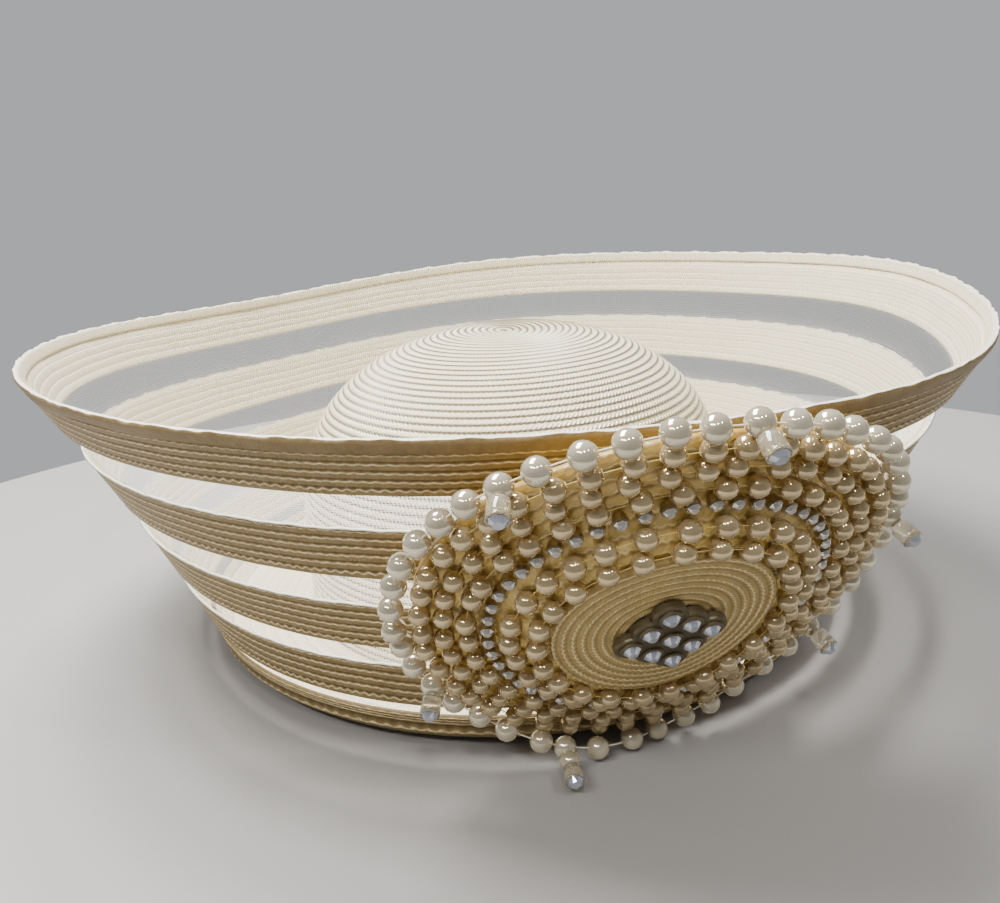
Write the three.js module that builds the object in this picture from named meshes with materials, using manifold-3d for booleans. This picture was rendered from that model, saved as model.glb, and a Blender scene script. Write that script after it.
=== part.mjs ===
// A church hat: a domed crown of sewn braid inside a deep upturned brim of braid bands and
// see-through inserts, with a round rosette of pearls and clear stones on the front of the brim.
// Millimetres, +Z up. The hat stands on its brim at z = 0, and the wearer's front with the rosette
// faces -Y. The pieces are drawn round the middle of the crown and moved together at the end.
import * as THREE from "three";
import { mergeVertices } from "three/addons/utils/BufferGeometryUtils.js";
import Module from "manifold-3d";

const wasm = await Module();
wasm.setup();

// Room left between two pieces that are sewn or wired together.
const clearance = 0.3;

const crown = {
  halfWidth: 94,
  halfDepth: 104,
  height: 118,
  wall: 2,
  leanX: 1.5,
  ribDepth: 0.9,
  ribRows: 9,
  innerRows: 4,
  dentDepth: 3.5,
  dentRadius: 20,
  dentX: 8,
  dentY: -10,
  sides: 32,
};

// The crown's outside from the hem to the middle of the top: shares of its half width and height.
const crownProfile = [
  { across: 1, up: 0 },
  { across: 1, up: 0.28 },
  { across: 0.99, up: 0.44 },
  { across: 0.95, up: 0.595 },
  { across: 0.87, up: 0.725 },
  { across: 0.74, up: 0.83 },
  { across: 0.55, up: 0.92 },
  { across: 0.28, up: 0.983 },
  { across: 0, up: 1 },
];

// The brim leaves the floor along an oval of these half sizes, at the outside of the fold.
const brim = {
  halfWidth: 131,
  halfDepth: 146,
  slant: 138,
  slope: 65,
  bow: 5,
  foldRadius: 15,
  wall: 2,
  ribDepth: 0.8,
  insertWall: 1,
  insertLap: 3,
  sides: 32,
};

// The strips from the fold up to the edging: width is a share of the slope below the edging.
const strips = [
  { name: "brim_base_band", kind: "base", width: 0.098, ribs: 1 },
  { name: "sheer_insert_4", kind: "insert", width: 0.034 },
  { name: "brim_band_4", kind: "band", width: 0.147, ribs: 2 },
  { name: "sheer_insert_3", kind: "insert", width: 0.06 },
  { name: "brim_band_3", kind: "band", width: 0.154, ribs: 2 },
  { name: "sheer_insert_2", kind: "insert", width: 0.094 },
  { name: "brim_band_2", kind: "band", width: 0.17, ribs: 2 },
  { name: "sheer_insert_1", kind: "insert", width: 0.11 },
  { name: "brim_rim_band", kind: "band", width: 0.133, ribs: 2 },
];

const edging = { width: 5, thickness: 3.2, sides: 5 };

// How the brim's shape changes round the hat, every 45 degrees from the +X side. lean is a share
// of the brim's slope, slant of its length up the slope, and bow of its bow away from straight.
const brimRound = [
  { lean: 1.05, slant: 1.02, bow: -0.1 },
  { lean: 1.05, slant: 1.015, bow: 0.6 },
  { lean: 1.035, slant: 1.02, bow: 0.9 },
  { lean: 1.01, slant: 0.97, bow: 0.6 },
  { lean: 0.965, slant: 1.015, bow: -0.1 },
  { lean: 0.99, slant: 0.99, bow: -0.8 },
  { lean: 0.96, slant: 0.985, bow: -1.1 },
  { lean: 0.95, slant: 0.985, bow: -0.8 },
];

// The rosette lies on the outside of the brim and bends round it. along is the share of the slope
// where its middle is, tip turns its face down from the brim's own slope, bend is how far its
// sides fall back at its radius, and settle is how far it sinks into the flats of the brim.
const rosette = {
  azimuth: -79,
  along: 0.577,
  tip: 5.5,
  settle: 1.3,
  radius: 72,
  dome: 7.4,
  bend: 12.5,
  backingWall: 2,
  backingRim: 66,
  discRadius: 31.6,
  discWall: 2.5,
  discRibs: 3,
  discRibDepth: 0.7,
  sides: 24,
};

const pearl = { large: 7, small: 5.7, thread: 1.6, outerCount: 44, sides: 10, tubeSides: 5 };

// Rings of the rosette from the outside in. across is a share of the rosette's radius and up a
// share of its dome. All but the outermost are plain tubes that stand for a string of beads.
const rings = [
  { name: "pearl_ring_1", kind: "beads", across: 1, up: 0 },
  { name: "pearl_ring_2", kind: "pearls", across: 0.905, up: 0.11 },
  { name: "pearl_ring_3", kind: "pearls", across: 0.82, up: 0.16 },
  { name: "pearl_ring_4", kind: "pearls", across: 0.735, up: 0.27 },
  { name: "stone_chain", kind: "stones", across: 0.66, up: 0.35 },
  { name: "pearl_ring_5", kind: "pearls", across: 0.583, up: 0.68 },
  { name: "pearl_ring_6", kind: "pearls", across: 0.496, up: 1 },
];

const chain = { stone: 4.4 };

const button = {
  sides: 8,
  pitch: 7.8,
  stoneRadius: 3.2,
  stoneHeight: 2.2,
  stoneTable: 1.9,
  settingRadius: 4.8,
  settingHeight: 3.8,
  turn: 57,
};

const stud = { radius: 3.1, tip: 2.2, tableRadius: 1.9, sides: 8 };

// The studs on the outermost ring: turn is in degrees from the rosette's right-hand side, lift is
// how far one is raised from straight out, and barrel is the length before its cut tip. The
// lowest one is long and lies just above the table.
const studs = [
  { turn: 82, lift: 0, barrel: 5.5 },
  { turn: 131, lift: 0, barrel: 5.5 },
  { turn: 213, lift: 0, barrel: 5.5 },
  { turn: 254, lift: 28, barrel: 20 },
  { turn: 327, lift: 0, barrel: 5.5 },
  { turn: 5, lift: 0, barrel: 5.5 },
];

const radians = Math.PI / 180;

const ivory = new THREE.MeshStandardMaterial({ color: 0xe9dfc2, roughness: 0.45, metalness: 0 });
const braid = new THREE.MeshStandardMaterial({ color: 0xcdb88a, roughness: 0.5, metalness: 0 });
const net = new THREE.MeshStandardMaterial({
  color: 0xe6e2d6,
  roughness: 0.6,
  metalness: 0,
  transparent: true,
  opacity: 0.5,
});
const amber = new THREE.MeshStandardMaterial({ color: 0xb08a4a, roughness: 0.5, metalness: 0 });
const nacre = new THREE.MeshStandardMaterial({ color: 0xe8dcc4, roughness: 0.2, metalness: 0 });
const crystal = new THREE.MeshStandardMaterial({ color: 0xdfe6ea, roughness: 0.05, metalness: 0 });
const gunmetal = new THREE.MeshStandardMaterial({ color: 0x5b5140, roughness: 0.3, metalness: 0.8 });

// Reads a column of a table whose rows stand at equal angles all the way round.
function readRound(rows, column, angle) {
  const turns = angle / (2 * Math.PI);
  const place = (turns - Math.floor(turns)) * rows.length;
  const row = Math.floor(place);
  const t = place - row;
  const value = (step) => rows[(row + step + rows.length) % rows.length][column];
  const [a, b, c, d] = [value(-1), value(0), value(1), value(2)];
  const slopeStart = (c - a) / 2;
  const slopeEnd = (d - b) / 2;
  const t2 = t * t;
  const t3 = t2 * t;
  return (
    b * (2 * t3 - 3 * t2 + 1) +
    slopeStart * (t3 - 2 * t2 + t) +
    c * (3 * t2 - 2 * t3) +
    slopeEnd * (t3 - t2)
  );
}

function ovalRadius(halfWidth, halfDepth, angle) {
  return (
    (halfWidth * halfDepth) /
    Math.hypot(halfDepth * Math.cos(angle), halfWidth * Math.sin(angle))
  );
}

// A closed skin over rings of points. Each ring runs round anticlockwise seen from above, and the
// rings follow a section that turns anticlockwise seen with the middle of the hat at the left.
// Without poles the last ring joins the first; with poles both ends close in a point.
function skin(loops, firstPole, lastPole) {
  const sides = loops[0].length;
  const points = loops.flat();
  const faces = [];
  const joined = firstPole ? loops.length - 1 : loops.length;
  for (let row = 0; row < joined; row += 1) {
    const next = (row + 1) % loops.length;
    for (let side = 0; side < sides; side += 1) {
      const nextSide = (side + 1) % sides;
      const a = row * sides + side;
      const b = row * sides + nextSide;
      const c = next * sides + nextSide;
      const d = next * sides + side;
      faces.push(a, b, c, a, c, d);
    }
  }
  if (firstPole) {
    const first = points.push(firstPole) - 1;
    const last = points.push(lastPole) - 1;
    const end = (loops.length - 1) * sides;
    for (let side = 0; side < sides; side += 1) {
      const nextSide = (side + 1) % sides;
      faces.push(first, nextSide, side);
      faces.push(last, end + side, end + nextSide);
    }
  }
  const geometry = new THREE.BufferGeometry();
  const numbers = points.flatMap((point) => point.toArray());
  geometry.setAttribute("position", new THREE.Float32BufferAttribute(numbers, 3));
  geometry.setIndex(faces);
  geometry.computeVertexNormals();
  return geometry;
}

function makePiece(name, geometry, material) {
  const mesh = new THREE.Mesh(geometry, material);
  mesh.name = name;
  return mesh;
}

function roundAngles(sides) {
  return Array.from({ length: sides }, (_, side) => (side / sides) * 2 * Math.PI);
}

// A point of the crown. inset moves it in from the outside of the wall, the dent sinks the top,
// and the top leans to the side by leanX.
function crownPoint(profile, inset, angle) {
  const spread = (profile.x - inset * profile.nx) / crown.halfWidth;
  const x = spread * crown.halfWidth * Math.cos(angle);
  const y = spread * crown.halfDepth * Math.sin(angle);
  const away = Math.hypot(x - crown.dentX, y - crown.dentY) / crown.dentRadius;
  const dent = crown.dentDepth * Math.exp(-away * away);
  const up = profile.y - inset * profile.ny;
  const lean = crown.leanX * (profile.y / crown.height) ** 2;
  return new THREE.Vector3(x + lean, y, up - dent);
}

// Places along the crown's outside with the direction that faces out, evenly spaced.
function crownPlaces(count) {
  const points = crownProfile.map(
    (row) => new THREE.Vector2(row.across * crown.halfWidth, row.up * crown.height),
  );
  const curve = new THREE.SplineCurve(points);
  return Array.from({ length: count + 1 }, (_, step) => {
    const point = curve.getPointAt(step / count);
    const tangent = curve.getTangentAt(step / count);
    return { x: point.x, y: point.y, nx: tangent.y, ny: -tangent.x };
  });
}

function makeCrown() {
  const angles = roundAngles(crown.sides);
  const ribSteps = 2 * crown.ribRows;
  const outer = crownPlaces(ribSteps);
  const inner = crownPlaces(crown.innerRows);
  const loops = [];
  for (let step = inner.length - 2; step >= 0; step -= 1) {
    const place = step === 0 ? { ...inner[0], nx: 1, ny: 0 } : inner[step];
    loops.push(angles.map((angle) => crownPoint(place, crown.wall, angle)));
  }
  for (let step = 0; step < ribSteps; step += 1) {
    const place = step === 0 ? { ...outer[0], nx: 1, ny: 0 } : outer[step];
    const inset = step % 2 === 0 ? crown.ribDepth : 0;
    loops.push(angles.map((angle) => crownPoint(place, inset, angle)));
  }
  const top = { x: 0, y: crown.height, nx: 0, ny: 1 };
  const under = crownPoint(top, crown.wall, 0);
  const over = crownPoint(top, crown.ribDepth, 0);
  return makePiece("crown", skin(loops, under, over), ivory);
}

// The brim's slope at an angle round the hat: where it leaves the floor, its direction up the
// slope and the direction that faces out of it, both as [out, up].
function brimSide(angle) {
  const slope = brim.slope * readRound(brimRound, "lean", angle) * radians;
  return {
    start: ovalRadius(brim.halfWidth, brim.halfDepth, angle),
    slope,
    length: brim.slant * readRound(brimRound, "slant", angle),
    bow: brim.bow * readRound(brimRound, "bow", angle),
    along: [Math.cos(slope), Math.sin(slope)],
    outward: [Math.sin(slope), -Math.cos(slope)],
  };
}

// [out, up] of a point at a length up the slope, counted on the mean slope, and a distance
// outward from the brim's outside face.
function slopePoint(side, rise, outward) {
  const share = rise / brim.slant;
  const length = share * side.length;
  const away = outward + side.bow * 4 * share * (1 - share);
  return [
    side.start + length * side.along[0] + away * side.outward[0],
    length * side.along[1] + away * side.outward[1],
  ];
}

function turnedPoint([out, up], angle) {
  return new THREE.Vector3(out * Math.cos(angle), out * Math.sin(angle), up);
}

// Carries a section round the brim. section(side, angle) gives its points as [out, up],
// anticlockwise with the middle of the hat at the left.
function roundTheBrim(section) {
  const perAngle = roundAngles(brim.sides).map((angle) =>
    section(brimSide(angle), angle).map((point) => turnedPoint(point, angle)),
  );
  const loops = perAngle[0].map((_, place) => perAngle.map((points) => points[place]));
  return skin(loops);
}

// The ribbed outside of a band from one length up the slope to another, then back down inside.
function ribbedStrip(side, from, to, ribs) {
  const points = [];
  const step = (to - from) / (2 * ribs);
  for (let place = 0; place <= 2 * ribs; place += 1) {
    const outward = place % 2 === 0 ? -brim.ribDepth : 0;
    points.push(slopePoint(side, from + place * step, outward));
  }
  points.push(slopePoint(side, to, -brim.wall));
  return points;
}

function makeBand(strip, from, to) {
  const geometry = roundTheBrim((side) => [
    ...ribbedStrip(side, from, to, strip.ribs),
    slopePoint(side, from, -brim.wall),
  ]);
  return makePiece(strip.name, geometry, braid);
}

// The lowest band: a flat floor out from the crown, the rounded fold and the first rows.
function makeBaseBand(strip, to) {
  const steps = 2;
  const geometry = roundTheBrim((side, angle) => {
    const tangent = brim.foldRadius * Math.tan(side.slope / 2);
    const centre = [side.start - tangent, brim.foldRadius];
    const fold = (radius) =>
      Array.from({ length: steps }, (_, step) => {
        const turn = (side.slope * step) / steps;
        return [centre[0] + radius * Math.sin(turn), centre[1] - radius * Math.cos(turn)];
      });
    const edge = ovalRadius(crown.halfWidth + clearance, crown.halfDepth + clearance, angle);
    const foldEnd = tangent * (brim.slant / side.length);
    return [
      [edge, 0],
      ...fold(brim.foldRadius),
      ...ribbedStrip(side, foldEnd, to, strip.ribs),
      slopePoint(side, foldEnd, -brim.wall),
      ...fold(brim.foldRadius - brim.wall).reverse(),
      [edge, brim.wall],
    ];
  });
  return makePiece(strip.name, geometry, braid);
}

// A see-through insert, lapped behind the bands above and below it.
function makeInsert(strip, from, to) {
  const near = -brim.wall - clearance;
  const far = near - brim.insertWall;
  const low = from - brim.insertLap;
  const high = to + brim.insertLap;
  const geometry = roundTheBrim((side) => [
    slopePoint(side, low, near),
    slopePoint(side, high, near),
    slopePoint(side, high, far),
    slopePoint(side, low, far),
  ]);
  return makePiece(strip.name, geometry, net);
}

// The binding that finishes the rim: a flattened roll of braid above the highest band.
function makeEdging() {
  const middle = brim.slant - edging.width / 2;
  const half = edging.width / 2 - clearance;
  const corners = roundAngles(edging.sides).map((turn) => [half * Math.sin(turn), Math.cos(turn)]);
  const geometry = roundTheBrim((side) =>
    corners.map(([rise, outward]) =>
      slopePoint(side, middle + rise, -brim.wall / 2 + (outward * edging.thickness) / 2),
    ),
  );
  return makePiece("brim_edge_binding", geometry, braid);
}

function makeBrim() {
  const shares = strips.reduce((sum, strip) => sum + strip.width, 0);
  const pieces = [];
  let from = 0;
  for (const strip of strips) {
    const to = from + (strip.width / shares) * (brim.slant - edging.width);
    if (strip.kind === "base") pieces.push(makeBaseBand(strip, to));
    if (strip.kind === "band") pieces.push(makeBand(strip, from, to));
    if (strip.kind === "insert") pieces.push(makeInsert(strip, from, to));
    from = to;
  }
  pieces.push(makeEdging());
  return pieces;
}

// How far a point stands clear of the brim's outside face.
function clearOfBrim(point) {
  const side = brimSide(Math.atan2(point.y, point.x));
  const out = Math.hypot(point.x, point.y) - side.start;
  const share = (out * side.along[0] + point.z * side.along[1]) / side.length;
  const inside = Math.min(Math.max(share, 0), 1);
  const outward = out * side.outward[0] + point.z * side.outward[1];
  return outward - side.bow * 4 * inside * (1 - inside);
}

// The rosette's own frame: its Z faces out of the brim and its Y points up the slope. It stands
// off just so far that its back clears the brim.
function rosetteFrame() {
  const angle = rosette.azimuth * radians;
  const side = brimSide(angle);
  const fall = side.slope - Math.PI / 2 - rosette.tip * radians;
  const face = new THREE.Vector3(
    Math.cos(fall) * Math.cos(angle),
    Math.cos(fall) * Math.sin(angle),
    Math.sin(fall),
  );
  const across = new THREE.Vector3(-Math.sin(angle), Math.cos(angle), 0);
  const upward = new THREE.Vector3().crossVectors(face, across);
  const middle = turnedPoint(slopePoint(side, rosette.along * brim.slant, 0), angle);
  const frame = new THREE.Matrix4().makeBasis(across, upward, face);
  const back = [
    { radius: rosette.backingRim, level: backingLevel(rosette.backingRim) - rosette.backingWall },
    { radius: rosette.radius + pearl.large / 2, level: 0 },
    { radius: rosette.radius, level: -pearl.large / 2 },
  ];
  const turns = roundAngles(4 * rosette.sides);
  for (let pass = 0; pass < 4; pass += 1) {
    frame.setPosition(middle);
    const clear = back.flatMap(({ radius, level }) =>
      turns.map((turn) => {
        const x = radius * Math.cos(turn);
        const point = new THREE.Vector3(x, radius * Math.sin(turn), level - bendBack(x));
        return clearOfBrim(point.applyMatrix4(frame));
      }),
    );
    middle.addScaledVector(face, clearance - rosette.settle - Math.min(...clear));
  }
  return frame.setPosition(middle);
}

// Height of the string of ring centres above the outermost ring, at a radius.
function domeLevel(radius) {
  const rows = rings.map((ring) => ({
    radius: ring.across * rosette.radius,
    level: ring.up * rosette.dome,
  }));
  const outer = rows.findIndex((row) => row.radius <= radius);
  if (outer === 0) return rows[0].level;
  if (outer < 0) return rows[rows.length - 1].level;
  const a = rows[outer - 1];
  const b = rows[outer];
  return a.level + ((a.radius - radius) / (a.radius - b.radius)) * (b.level - a.level);
}

// How far the rosette falls back at a distance across it.
function bendBack(x) {
  const share = x / rosette.radius;
  return rosette.bend * share * share;
}

function backingLevel(radius) {
  return domeLevel(radius) - pearl.small / 2 - clearance;
}

function latheAlongZ(points, sides) {
  const geometry = new THREE.LatheGeometry(points, sides);
  geometry.rotateX(Math.PI / 2);
  return geometry;
}

// The domed backing: an open-backed shell under the rings, flat under the disc.
function makeBacking(frame) {
  const carried = ["pearl_ring_6", "pearl_ring_5", "stone_chain"];
  const carriedRadii = carried.map(
    (name) => rosette.radius * rings.find((ring) => ring.name === name).across,
  );
  const radii = [rosette.discRadius, ...carriedRadii, rosette.backingRim];
  const top = radii.map((radius) => new THREE.Vector2(radius, backingLevel(radius)));
  const under = top.map((point) => new THREE.Vector2(point.x, point.y - rosette.backingWall));
  const profile = [
    new THREE.Vector2(0, under[0].y),
    ...under,
    ...top.reverse(),
    new THREE.Vector2(0, top[top.length - 1].y),
  ];
  const geometry = latheAlongZ(profile, rosette.sides);
  return makePiece("rosette_backing", placeOnBrim(geometry, frame), amber);
}

// The spiral braid disc, ribbed on top.
function makeDisc(frame) {
  const base = backingLevel(rosette.discRadius) + clearance;
  const top = base + rosette.discWall;
  const profile = [new THREE.Vector2(0, base), new THREE.Vector2(rosette.discRadius, base)];
  const steps = 2 * rosette.discRibs;
  for (let step = 0; step < steps; step += 1) {
    const drop = step % 2 === 0 ? rosette.discRibDepth : 0;
    profile.push(new THREE.Vector2(rosette.discRadius * (1 - step / steps), top - drop));
  }
  profile.push(new THREE.Vector2(0, top - rosette.discRibDepth));
  return makePiece("rosette_disc", placeOnBrim(latheAlongZ(profile, rosette.sides), frame), ivory);
}

// Bends a piece of the rosette back round the brim, then puts it in its place.
function placeOnBrim(geometry, frame) {
  const position = geometry.attributes.position;
  for (let vertex = 0; vertex < position.count; vertex += 1) {
    position.setZ(vertex, position.getZ(vertex) - bendBack(position.getX(vertex)));
  }
  geometry.computeVertexNormals();
  return geometry.applyMatrix4(frame);
}

// A small piece that is not bent itself, but stands on the bent rosette at a place, lifted by an
// angle about its foot.
function standOnRosette(geometry, x, y, lift, frame) {
  const lean = Math.atan((2 * rosette.bend * x) / rosette.radius ** 2);
  geometry.rotateX(-lift).rotateY(lean).translate(x, y, -bendBack(x));
  return geometry.applyMatrix4(frame);
}

// A plain closed ring of round section.
function tubeRing(radius, level, thickness, sides) {
  const angles = roundAngles(sides);
  const loops = roundAngles(pearl.tubeSides).map((turn) => {
    const out = radius + (thickness / 2) * Math.cos(turn);
    const up = level + (thickness / 2) * Math.sin(turn);
    return angles.map((angle) => turnedPoint([out, up], angle));
  });
  return skin(loops);
}

// A string of round beads closed into a ring, fused to its thread.
function beadRing(radius, level, bead, thread, count) {
  const half = bead / 2;
  const places = [
    { along: -0.55, thick: 0.84 },
    { along: 0, thick: 1 },
    { along: 0.55, thick: 0.84 },
    { along: 0.95, thick: thread / bead },
  ];
  const section = roundAngles(pearl.sides);
  const perPlace = roundAngles(count).flatMap((middle) =>
    places.map(({ along, thick }) =>
      section.map((turn) => {
        const out = radius + half * thick * Math.cos(turn);
        const up = level + half * thick * Math.sin(turn);
        return turnedPoint([out, up], middle + (along * half) / radius);
      }),
    ),
  );
  const loops = section.map((_, corner) => perPlace.map((ring) => ring[corner]));
  return skin(loops);
}

function makeRings(frame) {
  return rings.map((ring) => {
    const radius = ring.across * rosette.radius;
    const level = ring.up * rosette.dome;
    if (ring.kind === "beads") {
      const beads = beadRing(radius, level, pearl.large, pearl.thread, pearl.outerCount);
      return makePiece(ring.name, placeOnBrim(beads, frame), nacre);
    }
    const stones = ring.kind === "stones";
    const tube = tubeRing(radius, level, stones ? chain.stone : pearl.small, rosette.sides);
    return makePiece(ring.name, placeOnBrim(tube, frame), stones ? crystal : nacre);
  });
}

function toSolid(geometry) {
  const bare = geometry.index ? geometry.clone() : geometry;
  bare.deleteAttribute("normal");
  bare.deleteAttribute("uv");
  const merged = mergeVertices(bare, 1e-4);
  return new wasm.Manifold(
    new wasm.Mesh({
      numProp: 3,
      vertProperties: new Float32Array(merged.attributes.position.array),
      triVerts: new Uint32Array(merged.index.array),
    }),
  );
}

function toGeometry(solid) {
  const mesh = solid.getMesh();
  const geometry = new THREE.BufferGeometry();
  geometry.setAttribute("position", new THREE.BufferAttribute(mesh.vertProperties, 3));
  geometry.setIndex(new THREE.BufferAttribute(mesh.triVerts, 1));
  return geometry;
}

// A cut stone with a table and eight facets, standing on a level.
function cutStone(radius, tableRadius, base, height) {
  const profile = [
    new THREE.Vector2(0, base),
    new THREE.Vector2(radius, base),
    new THREE.Vector2(tableRadius, base + height),
    new THREE.Vector2(0, base + height),
  ];
  return latheAlongZ(profile, button.sides);
}

// Three rows of three stones, fused to a raised setting with a scalloped edge.
function makeButton(frame) {
  const base = backingLevel(rosette.discRadius) + rosette.discWall + 2 * clearance;
  const places = [];
  for (const row of [-1, 0, 1]) {
    for (const column of [-1, 0, 1]) places.push([row * button.pitch, column * button.pitch]);
  }
  const cupProfile = [
    new THREE.Vector2(0, base),
    new THREE.Vector2(button.settingRadius, base),
    new THREE.Vector2(button.settingRadius, base + button.settingHeight),
    new THREE.Vector2(0, base + button.settingHeight),
  ];
  const cups = places.map(([x, y]) => toSolid(latheAlongZ(cupProfile, 6).translate(x, y, 0)));
  const sunk = button.settingHeight / 2;
  const height = sunk + button.stoneHeight;
  const stones = places.map(([x, y]) => {
    const stone = cutStone(button.stoneRadius, button.stoneTable, base + sunk, height);
    return toSolid(stone.translate(x, y, 0));
  });
  const setting = cups.reduce((whole, cup) => whole.add(cup));
  const solid = stones.reduce((whole, stone) => whole.add(stone), setting);
  const geometry = toGeometry(solid).rotateZ(button.turn * radians);
  return makePiece("stone_button", geometry.applyMatrix4(frame), gunmetal);
}

// Glass barrels with a cut tip, each standing on a pearl of the outermost ring.
function makeStuds(frame) {
  const pitch = (2 * Math.PI) / pearl.outerCount;
  const base = pearl.large / 2 + clearance;
  return studs.map(({ turn, lift, barrel }, number) => {
    const profile = [
      new THREE.Vector2(0, base),
      new THREE.Vector2(stud.radius, base),
      new THREE.Vector2(stud.radius, base + barrel),
      new THREE.Vector2(stud.tableRadius, base + barrel + stud.tip),
      new THREE.Vector2(0, base + barrel + stud.tip),
    ];
    const angle = Math.round((turn * radians) / pitch) * pitch;
    const x = rosette.radius * Math.cos(angle);
    const y = rosette.radius * Math.sin(angle);
    const solid = latheAlongZ(profile, stud.sides);
    const geometry = standOnRosette(solid, x, y, lift * radians, frame);
    return makePiece(`crystal_stud_${number + 1}`, geometry, crystal);
  });
}

const frame = rosetteFrame();
const pieces = new THREE.Group();
pieces.add(makeCrown());
pieces.add(...makeBrim());
pieces.add(makeBacking(frame), makeDisc(frame), ...makeRings(frame));
pieces.add(makeButton(frame), ...makeStuds(frame));

// The origin is below the middle of the hat's outline, on the surface that the hat stands on.
const outline = new THREE.Box3().setFromObject(pieces);
const middle = outline.getCenter(new THREE.Vector3());
pieces.position.set(-middle.x, -middle.y, 0);

const hat = new THREE.Group();
hat.name = "church_hat";
hat.add(pieces);

export default hat;
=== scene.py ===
# A church hat: a domed crown of sewn braid in a deep upturned brim of braid bands and sheer net
# inserts, with a round rosette of pearls and clear stones on the front. +Z is up and the front
# faces -Y. Sizes are in millimetres, and addMesh turns them into metres.
import math
import bpy
import numpy as np
from mathutils import Matrix, Vector


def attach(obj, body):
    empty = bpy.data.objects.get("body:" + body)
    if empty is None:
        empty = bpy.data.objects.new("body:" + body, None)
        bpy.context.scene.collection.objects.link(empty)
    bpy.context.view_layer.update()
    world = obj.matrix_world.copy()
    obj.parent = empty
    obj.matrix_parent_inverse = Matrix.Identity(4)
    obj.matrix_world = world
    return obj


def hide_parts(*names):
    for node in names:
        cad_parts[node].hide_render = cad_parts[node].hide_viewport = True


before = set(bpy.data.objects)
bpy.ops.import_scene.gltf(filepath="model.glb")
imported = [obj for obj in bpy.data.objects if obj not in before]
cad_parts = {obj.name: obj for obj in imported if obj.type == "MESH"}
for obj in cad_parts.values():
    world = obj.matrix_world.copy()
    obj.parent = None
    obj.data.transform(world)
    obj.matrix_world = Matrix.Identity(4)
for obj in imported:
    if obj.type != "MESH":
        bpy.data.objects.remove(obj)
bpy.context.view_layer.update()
mm = 0.001
tau = 2 * math.pi

# The hat is built round the middle of its crown, then moved so that the middle of its outline is
# at the origin, as the solids are.
shift = np.array([5.9028, 16.1128, 0.0])

# Camera: the photograph's viewing angle. pitch looks down, roll tips the picture, both in degrees.
view = {"x": -4.5, "y": -436.9, "z": 180.2, "pitch": 15.36, "roll": -3.93, "lens": 36, "sensor": 36}


def makeCamera():
    camera = bpy.data.objects.new("photoCamera", bpy.data.cameras.new("photoCamera"))
    bpy.context.scene.collection.objects.link(camera)
    camera.data.sensor_fit = "HORIZONTAL"
    camera.data.sensor_width = view["sensor"]
    camera.data.lens = view["lens"]
    camera.data.clip_start = 0.01
    upright = Matrix.Rotation(math.radians(90 - view["pitch"]), 4, "X")
    turned = upright @ Matrix.Rotation(math.radians(view["roll"]), 4, "Z")
    place = Matrix.Translation(Vector((view["x"], view["y"], view["z"]) + shift) * mm)
    camera.matrix_world = place @ turned
    bpy.context.scene.camera = camera


makeCamera()
print("camera")


# Grids and meshes

# Faces of a grid of rows by columns of points, closed round its columns and, with closeRows, its
# rows. Each quad turns from the row to the next column.
def gridFaces(rows, columns, closeRows=False):
    rowCount = rows if closeRows else rows - 1
    r, c = np.meshgrid(np.arange(rowCount), np.arange(columns), indexing="ij")
    nextR, nextC = (r + 1) % rows, (c + 1) % columns
    corners = [r * columns + c, r * columns + nextC, nextR * columns + nextC, nextR * columns + c]
    return np.stack(corners, axis=-1).reshape(-1, 4)


# Angles at equal steps of a full turn.
def fullTurn(count):
    return np.linspace(0, tau, count, endpoint=False)


def pathLength(points):
    return float(np.linalg.norm(np.diff(points, axis=0), axis=1).sum())


def unit(vectors):
    return vectors / np.linalg.norm(vectors, axis=1)[:, None]


# Points at radii and levels, turned round Z: the cosine and sine of the turn times the radius.
def turnedGrid(radius, level, turn):
    return np.stack([radius * np.cos(turn), radius * np.sin(turn), level + 0 * turn], axis=-1)


# Two fans of triangles that close the first and last row of a grid onto the two points that
# follow the grid's own.
def endFans(rows, columns):
    side = np.arange(columns)
    after = (side + 1) % columns
    first, last = np.full(columns, rows * columns), (rows - 1) * columns
    return np.vstack([np.stack([first, after, side], axis=1),
                      np.stack([first + 1, last + side, last + after], axis=1)])


def faceCount(faces):
    return sum(len(f) for f in faces)


# A mesh object from points in millimetres round the crown's middle, with an optional UV per face
# corner and material per face.
def addMesh(name, points, faces, materials, uv=None, faceMaterial=None, smooth=True):
    points = (points + shift) * mm
    mesh = bpy.data.meshes.new(name)
    corners = np.concatenate([f.ravel() for f in faces])
    sizes = np.concatenate([np.full(len(f), f.shape[1]) for f in faces])
    mesh.vertices.add(len(points))
    mesh.vertices.foreach_set("co", points.astype(np.float32).ravel())
    mesh.loops.add(len(corners))
    mesh.loops.foreach_set("vertex_index", corners.astype(np.int32))
    mesh.polygons.add(len(sizes))
    mesh.polygons.foreach_set("loop_start", (np.cumsum(sizes) - sizes).astype(np.int32))
    if uv is not None:
        layer = mesh.uv_layers.new(name="along")
        layer.data.foreach_set("uv", uv.astype(np.float32).ravel())
    for material in materials:
        mesh.materials.append(material)
    if faceMaterial is not None:
        mesh.polygons.foreach_set("material_index", faceMaterial.astype(np.int32))
    mesh.polygons.foreach_set("use_smooth", np.broadcast_to(smooth, len(sizes)).copy())
    mesh.update(calc_edges=True)
    mesh.validate()
    piece = bpy.data.objects.new(name, mesh)
    bpy.context.scene.collection.objects.link(piece)
    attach(piece, "root")
    return piece


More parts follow.
